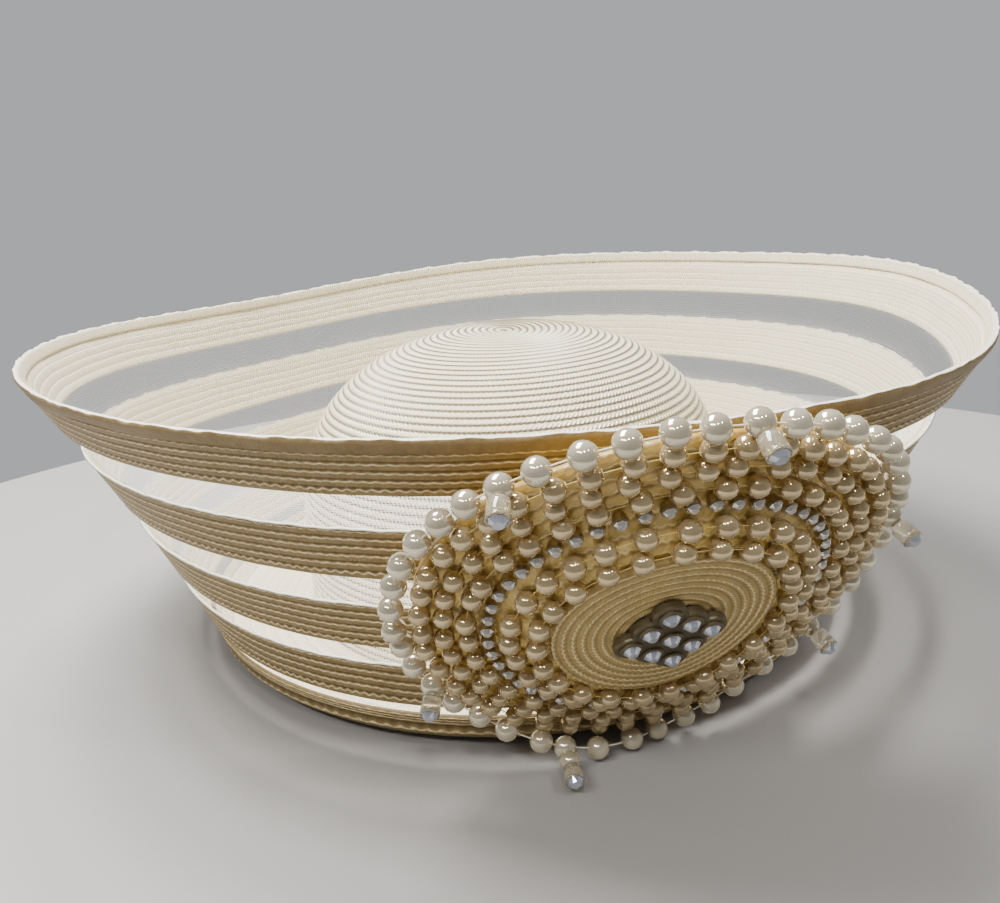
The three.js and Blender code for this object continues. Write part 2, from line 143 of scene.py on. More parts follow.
# UV of a grid's face corners from the u of its columns and the v of its rows, both one longer than
# the faces when the grid closes, so that the seam doesn't run back.
def gridUv(u, v):
    low, left = np.meshgrid(v[:-1], u[:-1], indexing="ij")
    high, right = np.meshgrid(v[1:], u[1:], indexing="ij")
    corners = [(left, low), (right, low), (right, high), (left, high)]
    return np.stack([np.stack(c, axis=-1) for c in corners], axis=2).reshape(-1, 2)


# The same UV for rows that run as one spiral, with fans at both ends: the row number grows by the
# turn round the grid, and each fan's corners get one place, fanRow.
def spiralUv(uv, columns, fanRow):
    quads = len(uv) // 4
    turn = np.tile([0, 1, 1, 0], quads) / columns
    uv[:, 1] += np.repeat(np.arange(quads) % columns / columns, 4) + turn
    return np.vstack([uv, np.tile([[0.0, fanRow]], (6 * columns, 1))])


# A line that wanders round the brim: the sum of height * sin(waves * angle + phase).
def sineSum(angle, sines):
    return sum(height * np.sin(waves * angle + phase) for height, waves, phase in sines)


# Height of a row of sewn braid across its width: half a sine to a low power, leaning like a
# shingle, so it starts with a step at t = 0 and thins towards t = 1. t is the place across it.
def braidRow(t):
    return np.sin(np.pi * np.clip(t, 0, 1)) ** 0.55 * (1 - 0.3 * t)


# Reads a table whose rows stand at equal angles all the way round, by a smooth cubic.
def readRound(rows, column, angle):
    values = np.array([row[column] for row in rows])
    count = len(values)
    place = np.mod(angle / tau, 1) * count
    row = np.floor(place).astype(int) % count
    t = place - np.floor(place)
    a, b, c, d = (values[(row + k) % count] for k in (-1, 0, 1, 2))
    return (b * (2 * t**3 - 3 * t**2 + 1) + (c - a) / 2 * (t**3 - 2 * t**2 + t)
            + c * (3 * t**2 - 2 * t**3) + (d - b) / 2 * (t**3 - t**2))


# Materials


class Nodes:
    def __init__(self, name):
        self.material = bpy.data.materials.new(name)
        self.material.use_nodes = True
        self.tree = self.material.node_tree
        self.shader = self.tree.nodes["Principled BSDF"]

    def add(self, kind, **values):
        node = self.tree.nodes.new(kind)
        for key, value in values.items():
            setattr(node, key, value)
        return node

    def link(self, source, target):
        self.tree.links.new(source, target)

    # A Math node on numbers or sockets. It returns the node's socket.
    def math(self, operation, *inputs):
        node = self.add("ShaderNodeMath", operation=operation)
        for socket, value in zip(node.inputs, inputs):
            if isinstance(value, (int, float)):
                socket.default_value = value
            else:
                self.link(value, socket)
        return node.outputs[0]

    def mixColour(self, factor, first, second):
        node = self.add("ShaderNodeMix", data_type="RGBA")
        for index, value in zip((0, 6, 7), (factor, first, second)):
            socket = node.inputs[index]
            if isinstance(value, (int, float)):
                socket.default_value = value
            elif isinstance(value, tuple):
                socket.default_value = (*value, 1)
            else:
                self.link(value, socket)
        return node.outputs[2]

    def noise(self, scale, detail):
        node = self.add("ShaderNodeTexNoise")
        node.inputs["Scale"].default_value = scale
        node.inputs["Detail"].default_value = detail
        self.link(self.add("ShaderNodeTexCoord").outputs["Object"], node.inputs["Vector"])
        return node.outputs["Fac"]

    def range(self, value, low, high, toLow, toHigh):
        node = self.add("ShaderNodeMapRange")
        for index, number in enumerate((low, high, toLow, toHigh), start=1):
            node.inputs[index].default_value = number
        self.link(value, node.inputs[0])
        return node.outputs[0]

    def bump(self, height, strength, distance):
        node = self.add("ShaderNodeBump")
        node.inputs["Strength"].default_value = strength
        node.inputs["Distance"].default_value = distance
        self.link(height, node.inputs["Height"])
        self.link(node.outputs[0], self.shader.inputs["Normal"])

    def put(self, **sockets):
        for name, value in sockets.items():
            socket = self.shader.inputs[shaderSockets[name]]
            if isinstance(value, tuple):
                socket.default_value = (*value, 1)
            elif isinstance(value, (int, float)):
                socket.default_value = value
            else:
                self.link(value, socket)


shaderSockets = {
    "colour": "Base Color", "rough": "Roughness", "metal": "Metallic", "ior": "IOR",
    "clear": "Transmission Weight", "coat": "Coat Weight", "coatRough": "Coat Roughness",
    "sheen": "Sheen Weight", "sheenRough": "Sheen Roughness", "shine": "Specular IOR Level",
}


# Satin braid, sewn row over row. UV is length along the row in millimetres and the row number. Each
# row has slanted strands that turn back at its middle and a light wavy line near its upper edge,
# partly a sewn thread and partly a painted highlight where the row's edge catches the light, broken
# into brighter and dimmer dashes by a painted glint. Painted shade darkens the groove where the
# next row starts and the first share of each row. line is where the thread lies across the row,
# half is half its width, and wave is how far it wanders, or edgeWave on the lowest row, all as
# shares of the row. stagger is how far the wave moves on from row to row, as a share of its period.
def braidMaterial(name, look):
    n = Nodes(name)
    split = n.add("ShaderNodeSeparateXYZ")
    n.link(n.add("ShaderNodeUVMap", uv_map="along").outputs[0], split.inputs[0])
    along, row = split.outputs[0], split.outputs[1]
    across = n.math("FRACT", row)
    fold = n.math("ABSOLUTE", n.math("SUBTRACT", across, 0.5))
    slant = n.math("ADD", n.math("DIVIDE", along, look["strand"]), n.math("MULTIPLY", fold, 1.6))
    strands = n.math("SINE", n.math("MULTIPLY", slant, tau))
    stagger = n.math("MULTIPLY", n.math("FLOOR", row), look["stagger"])
    shifted = n.math("ADD", n.math("DIVIDE", along, look["period"]), stagger)
    wobble = n.noise(45, 1)
    sway = n.math("SINE", n.math("MULTIPLY", n.math("ADD", shifted, wobble), tau))
    wave = n.math("MULTIPLY", sway, n.range(row, 0.98, 1.02, look["edgeWave"], look["wave"]))
    away = n.math("ABSOLUTE", n.math("SUBTRACT", n.math("ADD", across, wave), look["line"]))
    onLine = n.range(away, look["half"] * 0.5, look["half"], 1, 0)
    # Painted glint: noise makes some dashes of the light line brighter than others.
    glint = n.range(n.noise(700, 2), 0.4, 0.6, 0.45, 1)
    # Painted shade: past groove across the row, and over the first sixth of each row at its step,
    # the colour is mixed towards shade by depth.
    groove = n.range(n.math("ADD", across, wave), look["groove"], look["groove"] + 0.12, 0, 1)
    under = n.range(across, 0.0, 0.16, 1, 0)
    paintedGrooveShade = n.math("MAXIMUM", groove, under)
    mottle = n.range(n.noise(320, 3), 0.3, 0.7, 0, 1)
    body = n.mixColour(mottle, look["colour"], look["second"])
    body = n.mixColour(n.math("MULTIPLY", paintedGrooveShade, look["depth"]), body, look["shade"])
    # The light line over the body: partly the colour of a sewn thread, partly a painted highlight.
    n.put(colour=n.mixColour(n.math("MULTIPLY", onLine, glint), body, look["thread"]))
    n.put(rough=n.range(strands, -1, 1, look["rough"] + 0.12, look["rough"] - 0.06))
    n.put(sheen=look["sheen"], sheenRough=0.4, shine=look["shine"])
    relief = n.math("ADD", n.math("MULTIPLY", strands, look["weave"]), onLine)
    relief = n.math("ADD", relief, n.math("MULTIPLY", n.noise(1100, 2), 0.9))
    n.bump(relief, 0.5, look["relief"] * mm)
    return n.material


# Net: two sets of threads crossing, in millimetres of UV. The threads pass light on from behind, so
# the net is bright where it is lit from the far side, and between them it is see-through.
def netMaterial(name, look):
    n = Nodes(name)
    split = n.add("ShaderNodeSeparateXYZ")
    n.link(n.add("ShaderNodeUVMap", uv_map="along").outputs[0], split.inputs[0])

    def threads(socket, step):
        across = n.math("FRACT", n.math("DIVIDE", socket, step))
        saw = n.math("ABSOLUTE", n.math("SUBTRACT", across, 0.5))
        return n.range(saw, look["cover"] * 0.5 - 0.1, look["cover"] * 0.5 + 0.1, 1, 0)

    around, upward = (threads(split.outputs[k], look["pitch"]) for k in (0, 1))
    thread = n.math("MAXIMUM", around, upward)
    n.put(colour=look["colour"], rough=0.4)
    through = n.add("ShaderNodeBsdfTranslucent")
    through.inputs[0].default_value = (*look["glow"], 1)
    clear = n.add("ShaderNodeBsdfTransparent")
    cloth, whole = n.add("ShaderNodeMixShader"), n.add("ShaderNodeMixShader")
    cloth.inputs[0].default_value = look["through"]
    n.link(n.shader.outputs[0], cloth.inputs[1])
    n.link(through.outputs[0], cloth.inputs[2])
    n.link(n.range(thread, 0, 1, look["film"], 0.92), whole.inputs[0])
    n.link(clear.outputs[0], whole.inputs[1])
    n.link(cloth.outputs[0], whole.inputs[2])
    n.link(whole.outputs[0], n.tree.nodes["Material Output"].inputs[0])
    return n.material


# Pearl: a tinted mirror-like skin under a clear coat, clouded a little from pearl to pearl. The
# sheen lightens its rim.
def pearlMaterial(name, look):
    n = Nodes(name)
    cloud = n.range(n.noise(90, 2), 0.35, 0.65, 0, 1)
    n.put(colour=n.mixColour(cloud, look["colour"], look["second"]))
    n.put(metal=look["metal"], rough=look["rough"])
    n.put(coat=1.0, coatRough=0.02, ior=1.6, sheen=look["rim"], sheenRough=0.25)
    n.shader.inputs["Sheen Tint"].default_value = (*look["rimColour"], 1)
    n.shader.inputs["Specular Tint"].default_value = (*look["rimColour"], 1)
    return n.material


def plainMaterial(name, **values):
    n = Nodes(name)
    n.put(**values)
    return n.material


# The bands' outside: the same ivory braid as innerLook, painted dark brown for the shade under the
# brim's overhang, so that the outside and inside are a shaded and a lit copy of one braid. In every
# look, shade is the painted shade of the rows' grooves, depth how far the colour goes towards it,
# and thread the light line, partly sewn thread and partly painted highlight.
shadedBraidLook = {
    "colour": (0.32, 0.23, 0.1), "second": (0.24, 0.17, 0.068), "thread": (0.82, 0.66, 0.38),
    "shade": (0.1, 0.066, 0.025), "depth": 0.7, "rough": 0.5, "shine": 0.22, "weave": 0.25,
    "strand": 1.3, "period": 3.4, "wave": 0.032, "edgeWave": 0.085, "line": 0.74, "half": 0.09,
    "groove": 0.85, "stagger": 0.37, "sheen": 0.0, "relief": 0.3,
}
innerLook = dict(shadedBraidLook, colour=(0.92, 0.82, 0.56), second=(0.84, 0.73, 0.48),
                 thread=(1.0, 0.94, 0.76), shade=(0.58, 0.47, 0.29), depth=0.75, wave=0.03,
                 shine=0.5, rough=0.42, groove=0.9, sheen=0.2, weave=1.0, relief=0.7)
# The crown: deep painted shade in each row's groove, and a wide light band across each row's
# middle, partly thread and partly a painted highlight on the row's rounded top.
crownLook = dict(innerLook, colour=(0.98, 0.84, 0.48), second=(0.9, 0.75, 0.4),
                 thread=(1.0, 0.94, 0.68), shade=(0.13, 0.1, 0.06), depth=0.97, rough=0.26,
                 shine=0.9, line=0.45, half=0.26, groove=0.67, strand=2.4)
goldLook = dict(shadedBraidLook, colour=(0.85, 0.62, 0.19), second=(0.7, 0.48, 0.12),
                thread=(1.0, 0.86, 0.5), shade=(0.3, 0.17, 0.03), rough=0.36, shine=0.6,
                weave=0.4, strand=2.6, wave=0.08, edgeWave=0.08)
discLook = dict(shadedBraidLook, colour=(0.52, 0.38, 0.15), second=(0.42, 0.3, 0.11),
                thread=(0.95, 0.78, 0.44), shade=(0.26, 0.17, 0.055), period=1.7, wave=0.07,
                edgeWave=0.07, line=0.6, half=0.13, strand=0.9)
# The binding's outside: the same braid as its inside, painted darker still for the shade on it.
shadedEdgeLook = dict(shadedBraidLook, colour=(0.27, 0.19, 0.085), second=(0.21, 0.145, 0.06),
                thread=(0.27, 0.19, 0.085), wave=0.0, line=0.5, half=0.02, depth=0.3, weave=0.1)
cordLook = dict(innerLook, colour=(0.98, 0.95, 0.86), second=(0.96, 0.92, 0.8), depth=0.05,
                line=0.5, weave=0.2, relief=0.2)
netLook = {"colour": (0.8, 0.8, 0.8), "glow": (0.97, 0.97, 0.96), "through": 0.93, "film": 0.02,
           "pitch": 1.0, "cover": 0.19}
shadedOuterBraid = braidMaterial("braidOutsideShaded", shadedBraidLook)
innerBraid = braidMaterial("braidInside", innerLook)
crownStraw = braidMaterial("crownBraid", crownLook)
goldBraid = braidMaterial("rosetteBraid", goldLook)
discBraid = braidMaterial("discBraid", discLook)
shadedEdgeBraid = braidMaterial("rimOutsideShaded", shadedEdgeLook)
rimCord = braidMaterial("rimCord", cordLook)
netCloth = netMaterial("sheerNet", netLook)
whitePearlLook = {"colour": (0.72, 0.65, 0.48), "second": (0.6, 0.52, 0.37), "metal": 0.55,
                  "rough": 0.1, "rim": 0.4, "rimColour": (1.0, 0.9, 0.62)}
creamPearlLook = {"colour": (0.56, 0.44, 0.245), "second": (0.45, 0.34, 0.18), "metal": 0.6,
                  "rough": 0.09, "rim": 0.7, "rimColour": (1.0, 0.8, 0.38)}
pearlWhite = pearlMaterial("pearlWhite", whitePearlLook)
pearlCream = pearlMaterial("pearlCream", creamPearlLook)
threadWhite = plainMaterial("beadThread", colour=(0.88, 0.8, 0.6), rough=0.3)
threadGold = plainMaterial("goldThread", colour=(0.6, 0.42, 0.13), rough=0.3)
clearStone = plainMaterial("clearStone", colour=(0.62, 0.65, 0.72), rough=0.03, metal=0.45,
                           clear=0.5, ior=1.7)
chainStone = plainMaterial("chainStone", colour=(0.8, 0.76, 0.68), rough=0.04, metal=0.5,
                           clear=0.5, ior=1.7)
clearBarrel = plainMaterial("clearBarrel", colour=(0.86, 0.78, 0.58), rough=0.06, clear=0.8,
                            ior=1.5, coat=0.6)
darkMetal = plainMaterial("stoneSetting", colour=(0.12, 0.095, 0.05), rough=0.38, metal=0.6)
chainMetal = plainMaterial("chainCup", colour=(0.42, 0.33, 0.18), rough=0.3, metal=0.9)
print("materials")


# Crown. Its profile is in shares of half width and height, from the hem to the middle of the top.
# The rib of the first rows grows over hemRows, and that of the last ones fades over topRows.
crown = {
    "halfWidth": 94, "halfDepth": 104, "height": 118, "wall": 2, "leanX": 1.5, "rowPitch": 3.1,
    "ribDepth": 0.85, "dentDepth": 3.5, "dentRadius": 20, "dentX": 8, "dentY": -10,
    "hemRows": 0.5, "topRows": 0.8, "columns": 360, "perRow": 4, "innerRows": 22,
    "profile": [(1, 0), (1, 0.28), (0.99, 0.44), (0.95, 0.595), (0.87, 0.725), (0.74, 0.83),
                (0.55, 0.92), (0.28, 0.983), (0, 1)],
}


# A smooth curve through points at equal steps of its length, with the direction that faces out:
# Catmull-Rom between the points, then read by arc length.
def evenCurve(points, steps):
    p = np.array(points, dtype=float)
    p = np.vstack([p[:1], p, p[-1:]])
    t = np.linspace(0, 1, 40, endpoint=False)[:, None]
    parts = []
    for a, b, c, d in zip(p[:-3], p[1:-2], p[2:-1], p[3:]):
        parts.append(0.5 * (2 * b + (c - a) * t + (2 * a - 5 * b + 4 * c - d) * t**2
                            + (3 * b - a - 3 * c + d) * t**3))
    fine = np.vstack([*parts, p[-1:]])
    length = np.concatenate([[0], np.cumsum(np.linalg.norm(np.diff(fine, axis=0), axis=1))])
    at = np.interp(np.linspace(0, length[-1], steps), length, np.arange(len(fine)))
    place = np.stack([np.interp(at, np.arange(len(fine)), fine[:, k]) for k in (0, 1)], axis=1)
    tangent = unit(np.gradient(place, axis=0))
    return place, np.stack([tangent[:, 1], -tangent[:, 0]], axis=1), length[-1]


# The crown: the profile turned round an oval. Its rows run as one spiral, so the height of the rib
# depends on the length from the hem over the row pitch, plus the turn.
def makeCrown():
    c = crown
    profile = [(a * c["halfWidth"], u * c["height"]) for a, u in c["profile"]]
    columns = c["columns"]
    angle = fullTurn(columns)
    _, _, length = evenCurve(profile, 9)
    rows = int(length / c["rowPitch"]) * c["perRow"]

    def dent(x, y):
        away = ((x - c["dentX"]) ** 2 + (y - c["dentY"]) ** 2) / c["dentRadius"] ** 2
        return c["dentDepth"] * np.exp(-away)

    def shell(steps, inset):
        place, out, _ = evenCurve(profile, steps + 1)
        out[0] = (1, 0)
        place, out = place[:-1], out[:-1]
        inset = inset(place)
        across = (place[:, :1] - inset * out[:, :1]) / c["halfWidth"]
        x = across * c["halfWidth"] * np.cos(angle)
        y = across * c["halfDepth"] * np.sin(angle)
        up = place[:, 1:] - inset * out[:, 1:] - dent(x, y)
        lean = c["leanX"] * (place[:, 1:] / c["height"]) ** 2
        return np.stack([x + lean, y, up], axis=-1)

    def ribs(place):
        row = np.linspace(0, length / c["rowPitch"], len(place), endpoint=False)[:, None]
        turn = angle[None, :] / tau
        height = braidRow(np.mod(row + turn, 1))
        fade = np.clip((row[-1] - row) / c["topRows"], 0, 1)
        hem = np.clip(row / c["hemRows"], 0, 1)
        return c["ribDepth"] * (1 - height * fade * hem)

    outer = shell(rows, ribs)
    inner = shell(c["innerRows"], lambda place: np.full((len(place), columns), float(c["wall"])))
    total = len(inner) + len(outer)
    under = (c["leanX"], 0, c["height"] - c["wall"] - dent(0, 0))
    over = (c["leanX"], 0, c["height"] - c["ribDepth"] - dent(0, 0))
    points = np.vstack([inner[::-1].reshape(-1, 3), outer.reshape(-1, 3), [under, over]])
    faces = [gridFaces(total, columns), endFans(total, columns)]
    around = np.linspace(0, tau * (c["halfWidth"] + c["halfDepth"]) / 2, columns + 1)
    v = np.concatenate([np.arange(-len(inner), 0), np.arange(len(outer))]) / c["perRow"]
    uv = spiralUv(gridUv(around, v), columns, v[-1])
    piece = addMesh("crownShell", points, faces, [crownStraw], uv)
    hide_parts("crown")


makeCrown()
print("crown")


# Brim: the same oval, slope and tables as the solids. The inner sides' ribs are innerRib of the
# outer ones, and the floor's and fold's ribs are baseRib of them. brimRound holds the shares of
# slope, slant and bow every 45 degrees from +X, and strips each strip's share of the slant.
brim = {
    "halfWidth": 131, "halfDepth": 146, "slant": 138, "slope": 65, "bow": 5, "foldRadius": 15,
    "wall": 2, "clearance": 0.3, "ribDepth": 0.75, "insertLap": 3, "rowPitch": 3.7,
    "columns": 720, "perRow": 5, "edgeWidth": 5, "edgeThickness": 2.8, "innerRib": 0.2,
    "baseRib": 0.5, "floorRows": 6, "foldRows": 2, "foldRise": 9, "netInset": 0.4, "netRows": 9,
}
brimRound = [
    (1.05, 1.02, -0.1), (1.05, 1.015, 0.6), (1.035, 1.02, 0.9), (1.01, 0.97, 0.6),
    (0.965, 1.015, -0.1), (0.99, 0.99, -0.8), (0.96, 0.985, -1.1), (0.95, 0.985, -0.8),
]
strips = [
    ("brim_base_band", "base", 0.098), ("sheer_insert_4", "insert", 0.034),
    ("brim_band_4", "band", 0.147), ("sheer_insert_3", "insert", 0.06),
    ("brim_band_3", "band", 0.154), ("sheer_insert_2", "insert", 0.094),
    ("brim_band_2", "band", 0.17), ("sheer_insert_1", "insert", 0.11),
    ("brim_rim_band", "band", 0.133),
]


# An oval's radius at an angle from +X: the product of its halves over their mix at the angle.
def ovalRadius(halfWidth, halfDepth, angle):
    return halfWidth * halfDepth / np.hypot(halfDepth * np.cos(angle), halfWidth * np.sin(angle))


# The brim's slope at each angle: where it leaves the floor, its angle, length and bow.
def brimSide(angle):
    slope = np.radians(brim["slope"] * readRound(brimRound, 0, angle))
    length = brim["slant"] * readRound(brimRound, 1, angle)
    bow = brim["bow"] * readRound(brimRound, 2, angle)
    return ovalRadius(brim["halfWidth"], brim["halfDepth"], angle), slope, length, bow


# Points at lengths up the mean slope and distances outward from the brim's outside: straight up
# the slope plus a bow that is a parabola. rise and outward are rows by columns or broadcast to it.
def slopePoints(rise, outward, angle):
    start, slope, length, bow = brimSide(angle)
    share = rise / brim["slant"]
    away = outward + bow * 4 * share * (1 - share)
    out = start + share * length * np.cos(slope) + away * np.sin(slope)
    up = share * length * np.sin(slope) - away * np.cos(slope)
    return turnedGrid(out, up, angle)


def brimAngles():
    return fullTurn(brim["columns"])[None, :]


# Closes rows of points into a ring-shaped piece and adds it. rowKind is each row's material.
def addRing(name, rows, v, rowKind, materials):
    columns = rows.shape[1]
    faces = gridFaces(len(rows), columns, True)
    uv = gridUv(np.linspace(0, pathLength(rows[0]), columns + 1), np.append(v, v[-1]))
    return addMesh(name, rows.reshape(-1, 3), [faces], materials, uv, np.repeat(rowKind, columns))


# A braid band: the ribbed outside from one length up the slope to the next, then back down inside
# with the same ribs, flatter. Each rib is a braid row, and its edge wanders by a share of a row, so
# the seams look sewn by hand. The wall of the topmost row thins to half.
def bandRows(low, high, angle, seed):
    count = max(2, round((high - low) / brim["rowPitch"]))
    steps = count * brim["perRow"]
    t = np.linspace(0, count, steps + 1)[:, None]
    wander = sineSum(angle, [(0.06, 13, seed), (0.04, 31, 2.3 * seed)]) * np.sin(np.pi * t / count)
    rise = low + (high - low) * (t + wander) / count
    outside = slopePoints(rise, -brim["ribDepth"] * (1 - braidRow(np.mod(t, 1))), angle)
    thin = 1 - 0.5 * np.clip(t[::-1] - count + 1, 0, 1)
    groove = brim["innerRib"] * brim["ribDepth"] * (1 - braidRow(np.mod(t[::-1], 1)))
    inside = slopePoints(rise[::-1], groove - brim["wall"] * thin, angle)
    return outside, inside, t[:, 0]


# A band with its top cord: three rows of points, rise above the band and outward from it, that
# wander up and down.
topCord = {"rise": [0.15, 0.4, 0.15], "outward": [0.1, -0.45, -1.0]}


def makeBand(node, low, high, seed):
    angle = brimAngles()
    outside, inside, t = bandRows(low, high, angle, seed)
    wander = sineSum(angle, [(0.18, 61, seed), (0.14, 149, 2 * seed)])
    cord = slopePoints(high + np.array(topCord["rise"])[:, None] + wander,
                       np.array(topCord["outward"])[:, None], angle)
    rows = np.concatenate([outside, cord, inside])
    v = np.concatenate([t, np.full(3, t[-1] - 0.5), t[::-1]])
    # Outside rows take the braid painted with shade, inside rows the lit inner braid; the cord is
    # rimCord, except on the rim band, where it takes the outside braid.
    cordKind = 2 if node != "brim_rim_band" else 0
    kind = np.concatenate([np.zeros(len(outside) - 1), np.full(4, cordKind), np.ones(len(inside))])
    parts = node.split("_")
    piece = addRing(parts[0] + parts[1].title() + "Braid" + parts[-1].title(), rows, v, kind,
                    [shadedOuterBraid, innerBraid, rimCord])
    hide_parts(node)


# The lowest band: a floor out from the crown, a rounded fold, then the first rows of the slope.
def makeBase(node, high):
    angle = brimAngles()
    start, slope, length, _ = brimSide(angle)
    tangent = brim["foldRadius"] * np.tan(slope / 2)
    foldEnd = tangent * brim["slant"] / length
    hem = ovalRadius(crown["halfWidth"] + brim["clearance"],
                     crown["halfDepth"] + brim["clearance"], angle)
    floorRows, foldRows, perRow = brim["floorRows"], brim["foldRows"], brim["perRow"]
    depth = brim["baseRib"] * brim["ribDepth"]
    t = np.linspace(0, floorRows, floorRows * perRow, endpoint=False)[:, None]
    under = depth * (1 - braidRow(np.mod(t, 1)))
    flatEnd = start - tangent
    out = hem + (flatEnd - hem) * t / floorRows
    outerFloor = turnedGrid(out, under * np.clip(t, 0, 1), angle)
    innerFloor = turnedGrid(out, brim["wall"] - under, angle)
    turn = np.linspace(0, 1, foldRows * perRow, endpoint=False)[:, None] * slope
    foldT = np.linspace(0, foldRows, foldRows * perRow, endpoint=False)[:, None]
    rib = depth * (1 - braidRow(np.mod(foldT, 1)))

    def fold(radius):
        level = brim["foldRadius"] - radius * np.cos(turn)
        return turnedGrid(flatEnd + radius * np.sin(turn), level, angle)

    count = max(2, round((high - brim["foldRise"]) / brim["rowPitch"])) + 1
    slopeT = np.linspace(0, count, count * perRow + 1)[:, None]
    rise = foldEnd + (high - foldEnd) * slopeT / count
    ridge = braidRow(np.mod(slopeT, 1))
    outside = slopePoints(rise, -brim["ribDepth"] * (1 - ridge), angle)
    inside = slopePoints(rise, -brim["wall"] + depth * (1 - ridge), angle)
    outer = np.concatenate([outerFloor, fold(brim["foldRadius"] - rib), outside])
    innerFold = fold(brim["foldRadius"] - brim["wall"] + rib)
    inner = np.concatenate([innerFloor, innerFold, inside])[::-1]
    v = np.concatenate([t[:, 0], floorRows + foldT[:, 0], floorRows + foldRows + slopeT[:, 0]])
    kind = np.repeat([0, 1], [len(outer), len(inner)])
    piece = addRing("brimBaseBraid", np.concatenate([outer, inner]), np.concatenate([v, v[::-1]]),
                    kind, [shadedOuterBraid, innerBraid])
    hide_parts(node)


# A sheer insert: one sheet of net, lapped behind the bands above and below.
def makeInsert(node, low, high):
    angle = brimAngles()
    lap = brim["insertLap"]
    rise = np.linspace(low - lap, high + lap, brim["netRows"])[:, None]
    points = slopePoints(rise, -brim["wall"] - brim["clearance"] - brim["netInset"], angle)
    faces = gridFaces(brim["netRows"], brim["columns"])
    girth = pathLength(points[brim["netRows"] // 2])
    uv = gridUv(np.linspace(0, girth, brim["columns"] + 1), rise[:, 0])
    piece = addMesh("sheerNet" + node[-1], points.reshape(-1, 3), [faces], [netCloth], uv)
    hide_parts(node)


# The binding: a strip of braid folded over the rim, flat outside and inside, with a thin light
# cord along its top that wanders a little, as a hand-sewn edge does. The section is a rounded
# rectangle, the sine and cosine of a turn to a power. Above topFrom of its half width it narrows,
# and above cordFrom it is the cord. Its lower half reaches lap further down.
binding = {"sides": 28, "square": 0.55, "topFrom": 0.72, "cordFrom": 0.95, "lap": 0.5,
           "thick": 0.8, "thinner": 0.35, "knots": 0.12, "ripple": 0.12, "rows": 0.9}


def makeEdge(node):
    b = binding
    angle = brimAngles()
    turn = fullTurn(b["sides"])[:, None]
    half = brim["edgeWidth"] / 2
    up = np.sign(np.sin(turn)) * np.abs(np.sin(turn)) ** b["square"]
    out = np.sign(np.cos(turn)) * np.abs(np.cos(turn)) ** b["square"]
    top = np.clip((up - b["topFrom"]) / (1 - b["topFrom"]), 0, 1)
    wander = sineSum(angle, [(0.22, 57, 0), (0.16, 131, 1), (0.1, 181, 0)])
    rise = brim["slant"] - half + half * up + top * wander - b["lap"] * (up < 0)
    thick = brim["edgeThickness"] / 2 * (b["thick"] - b["thinner"] * top)
    thick = thick * (1 + top * sineSum(angle, [(b["knots"], 171, 2)]))
    ripple = sineSum(angle, [(b["ripple"], 23, 0)]) * (1 - top)
    rows = slopePoints(rise, -brim["wall"] / 2 + thick * out + ripple, angle)
    # The outside takes the braid painted with shade, the inside the lit inner braid, the top the
    # cord.
    kind = np.where(up[:, 0] > b["cordFrom"], 2, np.where(out[:, 0] > 0, 0, 1))
    piece = addRing("rimBinding", rows, (1 + up[:, 0]) * b["rows"] / 2, kind,
                    [shadedEdgeBraid, innerBraid, rimCord])
    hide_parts(node)


# The strips one above the other, each as long as its share of the slant below the binding.
def makeBrim():
    total = sum(width for _, _, width in strips)
    low = 0.0
    for number, (node, kind, width) in enumerate(strips):
        high = low + width / total * (brim["slant"] - brim["edgeWidth"])
        if kind == "base":
            makeBase(node, high)
        elif kind == "band":
            makeBand(node, low, high, number)
        else:
            makeInsert(node, low, high)
        low = high
    makeEdge("brim_edge_binding")


makeBrim()
print("brim")


# Rosette: sizes as in the solids; across is a share of its radius and up a share of its dome.
rosette = {
    "azimuth": -79, "along": 0.577, "tip": 5.5, "settle": 1.3, "radius": 72, "dome": 7.4,
    "bend": 12.5, "backingWall": 2, "backingRim": 66, "discRadius": 31.6, "discWall": 2.5,
}
pearl = {"large": 7, "small": 5.7}
# A pearl string's form: sides and rows of a pearl, and the radius of its thread.
outerString = {"sides": 16, "rows": 10, "thread": 0.25, "looks": [pearlWhite, threadWhite]}
innerString = {"sides": 12, "rows": 7, "thread": 0.16, "looks": [pearlCream, threadGold]}
# How far the pearls stand away from their places, along, across and out of the ring.
unevenness = {"along": 0.1, "across": 0.25, "out": 0.15}
rings = [
    {"node": "pearl_ring_1", "across": 1, "up": 0, "count": 44, "size": 7.4},
    {"node": "pearl_ring_2", "across": 0.905, "up": 0.11, "count": 44, "size": 6.4},
    {"node": "pearl_ring_3", "across": 0.82, "up": 0.16, "count": 40, "size": 6.1},
    {"node": "pearl_ring_4", "across": 0.735, "up": 0.27, "count": 34, "size": 6.3},
    {"node": "stone_chain", "across": 0.66, "up": 0.35, "count": 51, "size": 4.4},
    {"node": "pearl_ring_5", "across": 0.583, "up": 0.68, "count": 27, "size": 6.5},
    {"node": "pearl_ring_6", "across": 0.496, "up": 1, "count": 23, "size": 6.3},
]


# How far the rosette bends back: a parabola of the distance across it.
def bendBack(x):
    return rosette["bend"] * (x / rosette["radius"]) ** 2


# Height of the line through the ring centres at a radius.
def domeLevel(radius):
    across = np.array([ring["across"] for ring in rings])[::-1] * rosette["radius"]
    up = np.array([ring["up"] for ring in rings])[::-1] * rosette["dome"]
    return np.interp(radius, across, up)


# The backing's top lies half a small pearl and the clearance under that line.
def backingLevel(radius):
    return domeLevel(radius) - pearl["small"] / 2 - brim["clearance"]


